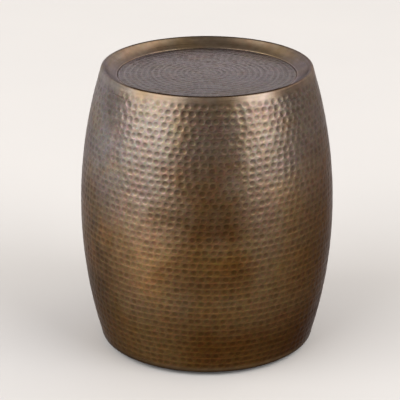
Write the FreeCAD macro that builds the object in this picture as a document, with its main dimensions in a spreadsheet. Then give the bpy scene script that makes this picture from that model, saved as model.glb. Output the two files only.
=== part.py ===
import FreeCAD
import Part
import Sketcher
import math
import os

# Drum side table. A barrel spun from one sheet: its foot is curled round a wire, and its mouth is
# turned in to make the rim, the cove and the ledge that a hammered disc lies on. Millimetres, +Z up.
# The origin is the point of the floor under the table's middle.

DRIVING_DIMENSIONS = (
    ("overall_height", 457.0, "floor to the top of the rim"),
    ("foot_gap", 6.0, "floor to the underside of the hem"),
    ("belly_radius", 203.0, "outside of the wall at its widest"),
    ("belly_height", 220.0, "height of the widest place"),
    ("bulge_radius", 770.0, "arc that the wall follows from hem to rim"),
    ("sheet", 1.2, "thickness of the shell and the top"),
    ("fit", 0.1, "clearance between pieces that nest"),
    ("wire_radius", 2.0, "wire in the hem"),
    ("hem_end_angle", 64.0, "where the hem's curl ends, in degrees above the horizontal"),
    ("rim_radius", 3.5, "outside of the bend at the rim"),
    ("tray_depth", 14.0, "top of the rim to the tray's floor"),
    ("cove_width", 22.1, "middle of the rim's bend to the edge of the hammered disc, seen from above"),
    ("cove_radius", 42.0, "hollow curve between the rim and the floor"),
    ("cove_rise", 0.4, "foot of the cove above the floor"),
    ("step_width", 1.0, "slope between the ledge and the cove, seen from above"),
    ("step_shift", 0.8, "how much further out the underside of that slope lies"),
    ("ledge_width", 8.0, "ledge under the edge of the disc"),
    ("ring_sheet", 2.0, "thickness of the two pressed rings"),
    ("base_web_height", 14.0, "underside of the base ring's web"),
    ("base_web_margin", 2.0, "base ring's web inside the feet"),
    ("base_flange", 16.0, "height of the base ring's flange"),
    ("base_lip", 7.0, "height of the base ring's inner lip"),
    ("neck_web_lap", 3.0, "how far the neck ring reaches in past the ledge"),
    ("neck_flange", 16.0, "height of the neck ring's flange"),
    ("bar_width", 25.0, "cross bars"),
    ("bar_thickness", 3.0, "cross bars"),
    ("bar_end", 12.0, "rivet to the end of a bar"),
    ("rivet_setback", 18.2, "neck ring's flange to the middle of a rivet"),
    ("rivet_radius", 2.0, "shank"),
    ("rivet_head_radius", 4.0, "heads"),
    ("rivet_head_height", 1.8, "heads"),
    ("rivet_crown", 2.0, "radius of the flat on a head"),
    ("felt_radius", 11.0, "felt discs"),
    ("felt_circle", 75.0, "radius at which the outer felts lie"),
    ("foot_bearing", 45.0, "turn of the first foot from +X, in degrees"),
    ("foot_clearance", 4.0, "hem's curl to the side of a foot"),
    ("foot_radius", 12.0, "foot at the floor"),
    ("foot_taper", 1.0, "how much slimmer it is at the base ring"),
    ("foot_edge", 1.0, "chamfer round its sole"),
    ("pocket_depth", 5.0, "recess in the sole for the screw head"),
    ("pocket_fit", 0.3, "room round the washer in that recess"),
    ("washer_radius", 5.0, "washers"),
    ("washer_thickness", 1.0, "washers"),
    ("screw_radius", 2.5, "shank"),
    ("screw_head_radius", 4.2, "head"),
    ("screw_head_height", 2.6, "head"),
    ("screw_head_face", 2.9, "radius of the flat on the head"),
    ("screw_head_side", 1.3, "height of the head's straight side"),
    ("screw_tail", 1.5, "shank past the nut"),
    ("nut_flats", 8.0, "across flats"),
    ("nut_height", 4.0, "nuts"),
)

DOCUMENT = FreeCAD.newDocument("drum_side_table")
SHEET = DOCUMENT.addObject("Spreadsheet::Sheet", "driving")
PARTS_FOLDER = "parts"


class Size:
    """A number together with the expression on the sheet that gives it."""

    def __init__(self, value, text):
        self.value = value
        self.text = text

    def __add__(self, other):
        return Size(self.value + sized(other).value, f"({self.text} + {sized(other).text})")

    def __sub__(self, other):
        return Size(self.value - sized(other).value, f"({self.text} - {sized(other).text})")

    def __mul__(self, other):
        return Size(self.value * sized(other).value, f"({self.text} * {sized(other).text})")

    def __truediv__(self, other):
        return Size(self.value / sized(other).value, f"({self.text} / {sized(other).text})")

    def __neg__(self):
        return Size(-self.value, f"(0 - {self.text})")


def sized(number):
    return number if isinstance(number, Size) else Size(number, str(number))


def leg(hypotenuse, other_leg):
    """The second leg of a right triangle."""
    value = math.sqrt(hypotenuse.value ** 2 - other_leg.value ** 2)
    return Size(value, f"sqrt(({hypotenuse.text})^2 - ({other_leg.text})^2)")


def fill_sheet():
    """Write the driving dimensions on the sheet and give them back by name."""
    for row, (alias, value, meaning) in enumerate(DRIVING_DIMENSIONS, start=1):
        SHEET.set(f"A{row}", str(value))
        SHEET.set(f"B{row}", meaning)
        SHEET.setAlias(f"A{row}", alias)
    DOCUMENT.recompute()
    aliases = [alias for alias, *_ in DRIVING_DIMENSIONS]
    return {alias: Size(float(SHEET.get(alias)), f"{SHEET.Name}.{alias}") for alias in aliases}


D = fill_sheet()

WALL_CENTRE = D["belly_radius"] - D["bulge_radius"]


def wall_radius(inset, height):
    """Radius of the barrel at a height, on the line that lies this far inside its outer face."""
    return WALL_CENTRE + leg(D["bulge_radius"] - inset, height - D["belly_height"])


def wall_angle(inset, height):
    """Angle of that place above the belly, seen from the centre of the wall's arc."""
    return math.asin((height - D["belly_height"]).value / (D["bulge_radius"] - inset).value)


# Heights and radii that several pieces share.
FLOOR = D["overall_height"] - D["tray_depth"]
LEDGE_TOP = FLOOR - D["sheet"]
LEDGE_UNDERSIDE = LEDGE_TOP - D["sheet"]
RIM_HEIGHT = D["overall_height"] - D["rim_radius"]
RIM_CENTRE = wall_radius(D["rim_radius"], RIM_HEIGHT)
FLOOR_RADIUS = RIM_CENTRE - D["cove_width"]
STEP_RADIUS = FLOOR_RADIUS + D["fit"]
LEDGE_EDGE = STEP_RADIUS - D["ledge_width"]

LINING = D["sheet"] + D["fit"]
FLANGE_FACE = LINING + D["ring_sheet"]
BARS_TOP = LEDGE_UNDERSIDE - D["ring_sheet"]
NECK_WEB_RADIUS = LEDGE_EDGE - D["neck_web_lap"]
RIVET_CIRCLE = wall_radius(FLANGE_FACE, LEDGE_UNDERSIDE) - D["rivet_setback"]
RIVET_HOLE = D["rivet_radius"] + D["fit"]
BAR_REACH = RIVET_CIRCLE + D["bar_end"]
BAR_ENDS = sized(4)

FOOT_LABELS = ("foot_back_right", "foot_back_left", "foot_front_left", "foot_front_right")
FEET = sized(len(FOOT_LABELS))
HEM_BORE = D["wire_radius"] + D["fit"]
HEM_RADIUS = HEM_BORE + D["sheet"]
HEM_HEIGHT = D["foot_gap"] + HEM_RADIUS
HEM_CENTRE = wall_radius(HEM_RADIUS, HEM_HEIGHT)
FOOT_CIRCLE = HEM_CENTRE - HEM_RADIUS - D["foot_clearance"] - D["foot_radius"]
SCREW_HOLE = D["screw_radius"] + D["fit"]
BASE_WEB_RADIUS = FOOT_CIRCLE - D["foot_radius"] - D["base_web_margin"]
BASE_WEB_TOP = D["base_web_height"] + D["ring_sheet"]


def around(centre, radius, angle):
    return (centre[0] + radius * math.cos(angle), centre[1] + radius * math.sin(angle))


def meeting_point(first, first_radius, second, second_radius):
    """Where two circles meet, on the left of the way from the first centre to the second."""
    across, up = second[0] - first[0], second[1] - first[1]
    apart = math.hypot(across, up)
    along = (first_radius ** 2 - second_radius ** 2 + apart ** 2) / (2 * apart)
    aside = math.sqrt(first_radius ** 2 - along ** 2)
    x = first[0] + (along * across - aside * up) / apart
    y = first[1] + (along * up + aside * across) / apart
    return (x, y)


def rectangle(half_x, half_y):
    return [(-half_x, -half_y), (half_x, -half_y), (half_x, half_y), (-half_x, half_y)]


def flat(point):
    return FreeCAD.Vector(point[0], point[1], 0)


class Outline:
    """A sketch on one of a body's own origin planes, fully held by sizes from the sheet."""

    # The sketcher's own numbers for the points of a curve, its two axes and their crossing.
    START, END, CENTRE = range(1, 4)
    X_AXIS, Y_AXIS = range(-1, -3, -1)
    ORIGIN = (X_AXIS, START)

    def __init__(self, body, name, plane="XZ_Plane", lift=None):
        self.sketch = body.newObject("Sketcher::SketchObject", name)
        support = next(item for item in body.Origin.OriginFeatures if item.Role == plane)
        self.sketch.AttachmentSupport = [(support, "")]
        self.sketch.MapMode = "FlatFace"
        if lift is not None:
            self.sketch.setExpression("AttachmentOffset.Base.z", lift.text)

    def line(self, start, end):
        return self.sketch.addGeometry(Part.LineSegment(flat(start), flat(end)), False)

    def arc(self, centre, radius, start_angle, end_angle):
        circle = Part.Circle(flat(centre), FreeCAD.Vector(0, 0, 1), radius)
        return self.sketch.addGeometry(Part.ArcOfCircle(circle, start_angle, end_angle), False)

    def circle(self, radius, centre_x=None, centre_y=None):
        """A full circle of a stated radius about a stated point."""
        place = [size.value if size else 0.0 for size in (centre_x, centre_y)]
        shape = Part.Circle(flat(place), FreeCAD.Vector(0, 0, 1), radius.value)
        index = self.sketch.addGeometry(shape, False)
        self.tie("Radius", index, size=radius)
        self.place(index, self.CENTRE, centre_x, centre_y)

    def tie(self, kind, *where, size=None):
        """Add a constraint. One with a size follows the sheet."""
        if size is None:
            self.sketch.addConstraint(Sketcher.Constraint(kind, *where))
            return
        value = math.radians(size.value) if kind == "Angle" else size.value
        index = self.sketch.addConstraint(Sketcher.Constraint(kind, *where, value))
        self.sketch.setExpression(f"Constraints[{index}]", size.text)

    def place(self, geometry, point, x=None, y=None):
        """Hold a point at its distances from the sketch's origin. None puts it on the axis."""
        for kind, size, axis in (("DistanceX", x, self.Y_AXIS), ("DistanceY", y, self.X_AXIS)):
            if size is None:
                self.tie("PointOnObject", geometry, point, axis)
            elif size.value < 0:
                self.tie(kind, geometry, point, *self.ORIGIN, size=-size)
            else:
                self.tie(kind, *self.ORIGIN, geometry, point, size=size)

    def polygon(self, corners):
        """A closed run of lines through corners whose places follow the sheet."""
        places = [tuple(size.value if size else 0.0 for size in corner) for corner in corners]
        lines = [self.line(start, end) for start, end in zip(places, places[1:] + places[:1])]
        for index, (x, y) in enumerate(corners):
            self.tie("Coincident", lines[index - 1], self.END, lines[index], self.START)
            self.place(lines[index], self.START, x, y)


def new_body(label, bearing=None):
    """An empty body, turned about the table's axis if a bearing is given."""
    body = DOCUMENT.addObject("PartDesign::Body", label)
    body.Label = label
    if bearing is not None:
        turned = FreeCAD.Rotation(FreeCAD.Vector(0, 0, 1), bearing.value)
        body.Placement = FreeCAD.Placement(FreeCAD.Vector(), turned)
        body.setExpression("Placement.Rotation.Angle", bearing.text)
    return body


def turn(body, outline, axis="V_Axis"):
    """Turn an outline right round one of its own axes."""
    turned = body.newObject("PartDesign::Revolution", f"{body.Name}_turned")
    turned.Profile = outline.sketch
    turned.ReferenceAxis = (outline.sketch, [axis])
    turned.Angle = 360.0
    return turned


def turn_upright(body, outline, out, low, high):
    """Turn an outline right round an upright line that stands this far out from the table's axis."""
    line = outline.line((out.value, low.value), (out.value, high.value))
    outline.sketch.toggleConstruction(line)
    outline.place(line, outline.START, out, low)
    outline.place(line, outline.END, out, high)
    return turn(body, outline, "Axis0")


def extrude(body, outline, height):
    """Raise an outline by a height from the sheet."""
    pad = body.newObject("PartDesign::Pad", f"{body.Name}_pad")
    pad.Profile = outline.sketch
    pad.Length = height.value
    pad.setExpression("Length", height.text)
    return pad


def cut_through(body, outline):
    """Cut an outline through the whole body, both ways from its plane."""
    pocket = body.newObject("PartDesign::Pocket", f"{outline.sketch.Name}_cut")
    pocket.Profile = outline.sketch
    pocket.Type = "ThroughAll"
    pocket.SideType = "Symmetric"
    return pocket


def repeat_round(body, feature, count):
    """Repeat a feature round the table's axis."""
    pattern = body.newObject("PartDesign::PolarPattern", f"{feature.Name}_round")
    pattern.Originals = [feature]
    pattern.Axis = (next(item for item in body.Origin.OriginFeatures if item.Role == "Z_Axis"), [""])
    pattern.Angle = 360.0
    pattern.Occurrences = int(count.value)
    pattern.setExpression("Occurrences", count.text)
    body.Tip = pattern
    return pattern


def drill_round(body, radius, circle, count):
    """Drill holes along Z on a circle about the table's axis."""
    holes = Outline(body, f"{body.Name}_hole", "XY_Plane")
    holes.circle(radius, circle)
    repeat_round(body, cut_through(body, holes), count)


def make_barrel_shell():
    """One sheet: wired hem, bulging wall, rim, cove, step and ledge."""
    body = new_body("barrel_shell")
    section = Outline(body, "shell_section")
    start, end, centre = section.START, section.END, section.CENTRE

    wall = (WALL_CENTRE.value, D["belly_height"].value)
    outer, inner = D["bulge_radius"].value, D["bulge_radius"].value - D["sheet"].value
    hem = (HEM_CENTRE.value, HEM_HEIGHT.value)
    hem_angle = wall_angle(HEM_RADIUS, HEM_HEIGHT)
    curl_end = math.radians(D["hem_end_angle"].value) - 2 * math.pi
    rim = (RIM_CENTRE.value, RIM_HEIGHT.value)
    rim_angle = wall_angle(D["rim_radius"], RIM_HEIGHT)

    # The cove touches the rim's bend and stands on its foot, so its centre is where two circles meet.
    foot_x, foot_y = STEP_RADIUS + D["step_width"], FLOOR + D["cove_rise"]
    cove_radius = D["cove_radius"].value
    cove_foot = (foot_x.value, foot_y.value)
    cove = meeting_point(cove_foot, cove_radius, rim, cove_radius + D["rim_radius"].value)
    cove_start = math.atan2(cove_foot[1] - cove[1], cove_foot[0] - cove[0])
    cove_end = math.atan2(rim[1] - cove[1], rim[0] - cove[0])

    wall_out = section.arc(wall, outer, hem_angle, rim_angle)
    wall_in = section.arc(wall, inner, hem_angle, rim_angle)
    hem_out = section.arc(hem, HEM_RADIUS.value, curl_end, hem_angle)
    hem_in = section.arc(hem, HEM_BORE.value, curl_end, hem_angle)
    hem_edge = section.line(*[around(hem, radius.value, curl_end) for radius in (HEM_BORE, HEM_RADIUS)])
    rim_out = section.arc(rim, D["rim_radius"].value, rim_angle, cove_end + math.pi)
    rim_in = section.arc(rim, (D["rim_radius"] - D["sheet"]).value, rim_angle, cove_end + math.pi)
    cove_out = section.arc(cove, cove_radius, cove_start, cove_end)
    low_foot_x = foot_x + D["step_shift"]
    low_radius = cove_radius + D["sheet"].value
    low_start = -math.acos((low_foot_x.value - cove[0]) / low_radius)
    cove_in = section.arc(cove, low_radius, low_start, cove_end)

    low_step_x = STEP_RADIUS + D["step_shift"]
    edge_high = (LEDGE_EDGE.value, LEDGE_TOP.value)
    edge_low = (LEDGE_EDGE.value, LEDGE_UNDERSIDE.value)
    step_high = (STEP_RADIUS.value, LEDGE_TOP.value)
    step_bottom = (low_step_x.value, LEDGE_UNDERSIDE.value)
    ledge_top = section.line(edge_high, step_high)
    step_top = section.line(step_high, cove_foot)
    step_low = section.line(around(cove, low_radius, low_start), step_bottom)
    ledge_low = section.line(step_bottom, edge_low)
    ledge_end = section.line(edge_low, edge_high)

    for first, first_point, second, second_point in (
        (wall_out, start, hem_out, end),
        (wall_in, start, hem_in, end),
        (wall_out, end, rim_out, start),
        (wall_in, end, rim_in, start),
        (rim_out, end, cove_out, end),
        (rim_in, end, cove_in, end),
    ):
        section.tie("Tangent", first, first_point, second, second_point)
    for first, second in ((wall_out, wall_in), (hem_out, hem_in), (rim_out, rim_in), (cove_out, cove_in)):
        section.tie("Coincident", first, centre, second, centre)
    for first, first_point, second, second_point in (
        (hem_edge, start, hem_in, start),
        (hem_edge, end, hem_out, start),
        (ledge_top, end, step_top, start),
        (step_top, end, cove_out, start),
        (cove_in, start, step_low, start),
        (step_low, end, ledge_low, start),
        (ledge_low, end, ledge_end, start),
        (ledge_end, end, ledge_top, start),
    ):
        section.tie("Coincident", first, first_point, second, second_point)

    section.place(wall_out, centre, WALL_CENTRE, D["belly_height"])
    section.tie("Radius", wall_out, size=D["bulge_radius"])
    section.tie("DistanceY", *section.ORIGIN, hem_out, centre, size=HEM_HEIGHT)
    section.tie("Radius", hem_out, size=HEM_RADIUS)
    section.tie("Radius", hem_in, size=HEM_BORE)
    section.tie("PointOnObject", hem_out, centre, hem_edge)
    section.tie("Angle", hem_edge, size=D["hem_end_angle"])
    section.tie("DistanceY", *section.ORIGIN, rim_out, centre, size=RIM_HEIGHT)
    section.tie("Radius", rim_out, size=D["rim_radius"])
    section.tie("Radius", cove_out, size=D["cove_radius"])
    section.place(step_top, end, foot_x, foot_y)
    section.place(step_top, start, STEP_RADIUS, LEDGE_TOP)
    section.place(ledge_end, end, LEDGE_EDGE, LEDGE_TOP)
    section.place(ledge_end, start, LEDGE_EDGE, LEDGE_UNDERSIDE)
    section.place(step_low, end, low_step_x, LEDGE_UNDERSIDE)
    section.tie("DistanceX", *section.ORIGIN, cove_in, start, size=low_foot_x)
    turn(body, section)


def make_hammered_top():
    """The tray's floor: a flat disc that drops into the step."""
    body = new_body("hammered_top")
    outline = Outline(body, "top_outline", "XY_Plane", lift=LEDGE_TOP)
    outline.circle(FLOOR_RADIUS)
    extrude(body, outline, D["sheet"])


def make_hem_wire():
    """The wire that the hem is curled round."""
    body = new_body("hem_wire")
    section = Outline(body, "wire_section")
    section.circle(D["wire_radius"], HEM_CENTRE, HEM_HEIGHT)
    turn(body, section)


def press_ring(body, web_face, web_radius, flange_height, up, lip_height=None):
    """A pressed ring: a flat web, a flange along the barrel's wall and perhaps a lip.

    The web_face is the side of the web away from the flange, and up is 1 or -1, the flange's way.
    """
    section = Outline(body, f"{body.Name}_section")
    start, end, centre = section.START, section.END, section.CENTRE
    web_back = web_face + D["ring_sheet"] * up
    flange_end = web_face + flange_height * up
    wall = (WALL_CENTRE.value, D["belly_height"].value)

    def flange_face(inset, near, far):
        """The flange's face that lies this far inside the barrel's outer face."""
        angles = sorted((wall_angle(inset, near), wall_angle(inset, far)))
        arc = section.arc(wall, (D["bulge_radius"] - inset).value, *angles)
        near_point, far_point = (start, end) if up > 0 else (end, start)
        section.place(arc, centre, WALL_CENTRE, D["belly_height"])
        section.tie("Radius", arc, size=D["bulge_radius"] - inset)
        section.tie("DistanceY", *section.ORIGIN, arc, near_point, size=near)
        section.tie("DistanceY", *section.ORIGIN, arc, far_point, size=far)
        return arc, near_point, far_point

    outer, outer_near, outer_far = flange_face(LINING, web_face, flange_end)
    inner, inner_near, inner_far = flange_face(FLANGE_FACE, web_back, flange_end)
    outer_corner = (wall_radius(LINING, web_face), web_face)
    inner_corner = (wall_radius(FLANGE_FACE, web_back), web_back)
    if lip_height is None:
        corners = [(web_radius, web_face), (web_radius, web_back)]
    else:
        lip_end = web_face + lip_height * up
        lip_radius = web_radius + D["ring_sheet"]
        corners = [(web_radius, web_face), (web_radius, lip_end)]
        corners += [(lip_radius, lip_end), (lip_radius, web_back)]

    path = [(x.value, y.value) for x, y in (outer_corner, *corners, inner_corner)]
    lines = [section.line(first, second) for first, second in zip(path, path[1:])]
    for index, (x, y) in enumerate(corners):
        section.tie("Coincident", lines[index], end, lines[index + 1], start)
        section.place(lines[index], end, x, y)
    section.tie("Coincident", outer, outer_near, lines[0], start)
    section.tie("Coincident", inner, inner_near, lines[-1], end)

    faces = (LINING, FLANGE_FACE)
    edge = section.line(*[(wall_radius(inset, flange_end).value, flange_end.value) for inset in faces])
    section.tie("Coincident", outer, outer_far, edge, start)
    section.tie("Coincident", inner, inner_far, edge, end)
    turn(body, section)


def make_base_ring():
    """Pressed ring that carries the feet. Its inner lip stiffens it."""
    body = new_body("base_ring", bearing=D["foot_bearing"])
    press_ring(body, D["base_web_height"], BASE_WEB_RADIUS, D["base_flange"], 1, D["base_lip"])
    drill_round(body, SCREW_HOLE, FOOT_CIRCLE, FEET)


def make_neck_ring():
    """Pressed ring under the ledge. It carries the cross bars."""
    body = new_body("neck_ring")
    press_ring(body, LEDGE_UNDERSIDE, NECK_WEB_RADIUS, D["neck_flange"], -1)
    drill_round(body, RIVET_HOLE, RIVET_CIRCLE, BAR_ENDS)


def make_cross_bars():
    """Two flat bars, each cut half away where they cross, with a rivet hole at each end."""
    half_width = D["bar_width"] / 2
    notch_half = half_width + D["fit"]
    half_deep = D["bar_thickness"] / 2
    bars = (("cross_bar_lower", True, BARS_TOP), ("cross_bar_upper", False, BARS_TOP - half_deep))
    for label, along_x, notch_top in bars:
        body = new_body(label)
        outline = Outline(body, f"{label}_outline", "XY_Plane", lift=BARS_TOP - D["bar_thickness"])
        reach_x, reach_y = (BAR_REACH, half_width) if along_x else (half_width, BAR_REACH)
        outline.polygon(rectangle(reach_x, reach_y))
        extrude(body, outline, D["bar_thickness"])

        notch = Outline(body, f"{label}_notch", "XY_Plane", lift=notch_top)
        notch.polygon(rectangle(notch_half, notch_half))
        halving = body.newObject("PartDesign::Pocket", f"{label}_halving")
        halving.Profile = notch.sketch
        halving.setExpression("Length", (half_deep + D["fit"] / 2).text)

        holes = Outline(body, f"{label}_holes", "XY_Plane")
        for side in (RIVET_CIRCLE, -RIVET_CIRCLE):
            holes.circle(RIVET_HOLE, *((side, None) if along_x else (None, side)))
        cut_through(body, holes)


def make_bar_rivets():
    """Round head rivets through the bars and the neck ring."""
    body = new_body("bar_rivets")
    section = Outline(body, "rivet_section")
    middle = RIVET_CIRCLE
    low, high = BARS_TOP - D["bar_thickness"], BARS_TOP + D["ring_sheet"]
    head_low = low - D["rivet_head_height"]
    section.polygon([
        (middle, head_low),
        (middle + D["rivet_crown"], head_low),
        (middle + D["rivet_head_radius"], low),
        (middle + D["rivet_radius"], low),
        (middle + D["rivet_radius"], high),
        (middle, high),
    ])
    repeat_round(body, turn_upright(body, section, middle, low, high), BAR_ENDS)


def make_felt_pads():
    """Felt discs between the bars and the tray's floor."""
    body = new_body("felt_pads")
    outline = Outline(body, "felt_outline", "XY_Plane", lift=BARS_TOP)
    out = D["felt_circle"]
    for centre_x, centre_y in ((None, None), (out, None), (-out, None), (None, out), (None, -out)):
        outline.circle(D["felt_radius"], centre_x, centre_y)
    extrude(body, outline, LEDGE_TOP - BARS_TOP)


def make_feet():
    """Rubber feet: slightly tapered, with a recess in the sole for the screw head."""
    narrow = D["foot_radius"] - D["foot_taper"]
    recess = D["washer_radius"] + D["pocket_fit"]
    seat = D["pocket_depth"]
    top = D["base_web_height"]
    for index, label in enumerate(FOOT_LABELS):
        body = new_body(label)
        section = Outline(body, f"{label}_section")
        section.polygon([
            (recess, None),
            (D["foot_radius"] - D["foot_edge"], None),
            (D["foot_radius"], D["foot_edge"]),
            (narrow, top),
            (SCREW_HOLE, top),
            (SCREW_HOLE, seat),
            (recess, seat),
        ])
        turn(body, section)
        bearing = D["foot_bearing"] + sized(360) / FEET * index
        body.setExpression("Placement.Base.x", f"{FOOT_CIRCLE.text} * cos({bearing.text} * 1 deg)")
        body.setExpression("Placement.Base.y", f"{FOOT_CIRCLE.text} * sin({bearing.text} * 1 deg)")


def make_foot_screws():
    """Pan head screws, up through washer, foot, ring and nut."""
    body = new_body("foot_screws", bearing=D["foot_bearing"])
    section = Outline(body, "screw_section")
    middle = FOOT_CIRCLE
    head_top = D["pocket_depth"] - D["washer_thickness"]
    head_low = head_top - D["screw_head_height"]
    tail = BASE_WEB_TOP + D["nut_height"] + D["screw_tail"]
    section.polygon([
        (middle, head_low),
        (middle + D["screw_head_face"], head_low),
        (middle + D["screw_head_radius"], head_top - D["screw_head_side"]),
        (middle + D["screw_head_radius"], head_top),
        (middle + D["screw_radius"], head_top),
        (middle + D["screw_radius"], tail),
        (middle, tail),
    ])
    repeat_round(body, turn_upright(body, section, middle, head_low, tail), FEET)


def make_foot_washers():
    """Washers between the screw heads and the feet."""
    body = new_body("foot_washers", bearing=D["foot_bearing"])
    outline = Outline(body, "washer_outline", "XY_Plane", lift=D["pocket_depth"] - D["washer_thickness"])
    for radius in (D["washer_radius"], SCREW_HOLE):
        outline.circle(radius, FOOT_CIRCLE)
    repeat_round(body, extrude(body, outline, D["washer_thickness"]), FEET)


def make_foot_nuts():
    """Hexagon nuts on the base ring."""
    body = new_body("foot_nuts", bearing=D["foot_bearing"])
    outline = Outline(body, "nut_outline", "XY_Plane", lift=BASE_WEB_TOP)
    middle = FOOT_CIRCLE
    corner = D["nut_flats"] / math.sqrt(3)
    flat_half = D["nut_flats"] / 2
    outline.polygon([
        (middle + corner, None),
        (middle + corner / 2, flat_half),
        (middle - corner / 2, flat_half),
        (middle - corner, None),
        (middle - corner / 2, -flat_half),
        (middle + corner / 2, -flat_half),
    ])
    outline.circle(SCREW_HOLE, middle)
    repeat_round(body, extrude(body, outline, D["nut_height"]), FEET)


def sub_parts():
    """The objects that stand for pieces of the table."""
    return [item for item in DOCUMENT.Objects if item.TypeId == "PartDesign::Body"]


def check_document():
    """Stop if anything failed to build."""
    for item in DOCUMENT.Objects:
        if {"Invalid", "Error"} & set(item.State):
            raise RuntimeError(f"{item.Label} did not build: {item.State}")
    for item in sub_parts():
        if item.Shape.isNull() or not item.Shape.isValid():
            raise RuntimeError(f"{item.Label} has no valid shape")
        if item.Shape.Volume <= 0:
            raise RuntimeError(f"{item.Label} has no volume")


def write_parts():
    os.makedirs(PARTS_FOLDER, exist_ok=True)
    for item in sub_parts():
        item.Shape.exportStep(f"{PARTS_FOLDER}/{item.Label}.step")
        print(f"{item.Label}: {len(item.Shape.Solids)} solids, {item.Shape.Volume / 1000:.2f} cm3")


make_barrel_shell()
make_hammered_top()
make_hem_wire()
make_base_ring()
make_neck_ring()
make_cross_bars()
make_bar_rivets()
make_felt_pads()
make_feet()
make_foot_screws()
make_foot_washers()
make_foot_nuts()
DOCUMENT.recompute()
check_document()
write_parts()
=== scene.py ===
import math

import bpy
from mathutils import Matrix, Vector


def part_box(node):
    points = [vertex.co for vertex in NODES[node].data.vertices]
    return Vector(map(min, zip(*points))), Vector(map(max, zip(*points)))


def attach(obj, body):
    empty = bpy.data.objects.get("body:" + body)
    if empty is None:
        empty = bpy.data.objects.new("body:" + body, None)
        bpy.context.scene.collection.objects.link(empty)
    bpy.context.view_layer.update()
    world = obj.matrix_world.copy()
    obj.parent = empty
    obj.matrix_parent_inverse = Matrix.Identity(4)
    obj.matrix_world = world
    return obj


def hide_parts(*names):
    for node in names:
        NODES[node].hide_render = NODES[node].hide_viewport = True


# A barrel-shaped side table of hammered antique brass. Lengths are metres, in the frame of the
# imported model: the origin lies on the floor under the table's middle, and +Z is up.

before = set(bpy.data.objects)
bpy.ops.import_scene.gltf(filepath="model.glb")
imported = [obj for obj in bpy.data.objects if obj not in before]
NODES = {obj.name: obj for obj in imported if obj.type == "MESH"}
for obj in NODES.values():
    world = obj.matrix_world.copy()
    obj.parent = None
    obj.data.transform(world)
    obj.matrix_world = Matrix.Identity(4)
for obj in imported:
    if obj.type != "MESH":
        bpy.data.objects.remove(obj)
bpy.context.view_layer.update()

SHELL_LOW, SHELL_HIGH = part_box("barrel_shell")
DISC_LOW, DISC_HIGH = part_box("hammered_top")

# The spun sheet: wall, hem, rim, cove and the ledge that carries the disc.
SHEET = DISC_HIGH.z - DISC_LOW.z
FIT = 0.0001
BELLY_RADIUS = SHELL_HIGH.x
BELLY_HEIGHT = 0.220
BULGE_RADIUS = 0.770
WALL_CENTRE = BELLY_RADIUS - BULGE_RADIUS
WIRE_RADIUS = 0.002
HEM_BORE = WIRE_RADIUS + FIT
HEM_RADIUS = HEM_BORE + SHEET
HEM_HEIGHT = SHELL_LOW.z + HEM_RADIUS
HEM_END = math.radians(64 - 360)
FOOT_BAND_HEIGHT = 0.0115
SHOULDER_HEIGHTS = (0.4525, 0.4505)
RIM_RADIUS = 0.0035
RIM_HEIGHT = SHELL_HIGH.z - RIM_RADIUS
RIM_CREST = WALL_CENTRE + math.sqrt(
    (BULGE_RADIUS - RIM_RADIUS) ** 2 - (RIM_HEIGHT - BELLY_HEIGHT) ** 2)
COVE_RADIUS = 0.042
COVE_RISE = 0.0004
STEP_WIDTH = 0.0005
STEP_SHIFT = 0.0008
STEP_BEND = 0.0002
LIP_WIDTH = 0.0015
STEP_RADIUS = DISC_HIGH.x + FIT
LEDGE_TOP = DISC_LOW.z
LEDGE_WIDTH = 0.008
LEDGE_EDGE = STEP_RADIUS - LEDGE_WIDTH

# The tray's disc, which takes up most of its clearance here, and how the sheets are turned.
DISC_EDGE = 0.0001
DISC_RADIUS = DISC_HIGH.x + 0.8 * FIT
TURNING_RADIUS = 0.1
MERGE_WITHIN = 1e-6

# Hammer marks: rows round the wall, and rings on the tray's floor.
WALL_TOP_ROW = 0.4480
WALL_ROW_PITCH = 0.01061
WALL_ROWS = 41
WALL_MARK_SPACING = 0.0122
WALL_MARK_DEPTH = 0.00048
WALL_UNEVENNESS = 0.0007
WALL_SAMPLES_PER_ROW = 4
EDGE_SAMPLES = 4
WALL_STEPS_AROUND = 420
FLOOR_OUTER_RING = 0.1385
FLOOR_RINGS = 15.5
FLOOR_RING_PITCH = FLOOR_OUTER_RING / FLOOR_RINGS
FLOOR_MARK_SPACING = 0.0106
FLOOR_MARK_DEPTH = 0.0002
FLOOR_UNEVENNESS = 0.00006
FLOOR_SAMPLES_PER_RING = 4
FLOOR_STEPS_AROUND = 400
MARK_REACH = 0.44
MARK_SIZE_SPREAD = 0.1
WALL_MARK_JITTER = 0.26
FLOOR_MARK_JITTER = 0.1
FLOOR_MARKS_JOINED = 0.45
ROW_WOBBLE = 0.005
RING_WOBBLE = 0.0008
SHALLOWEST_MARK = 0.4
LEAN_ALONG = 0.5
LEAN_DOWN = 0.85


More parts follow.
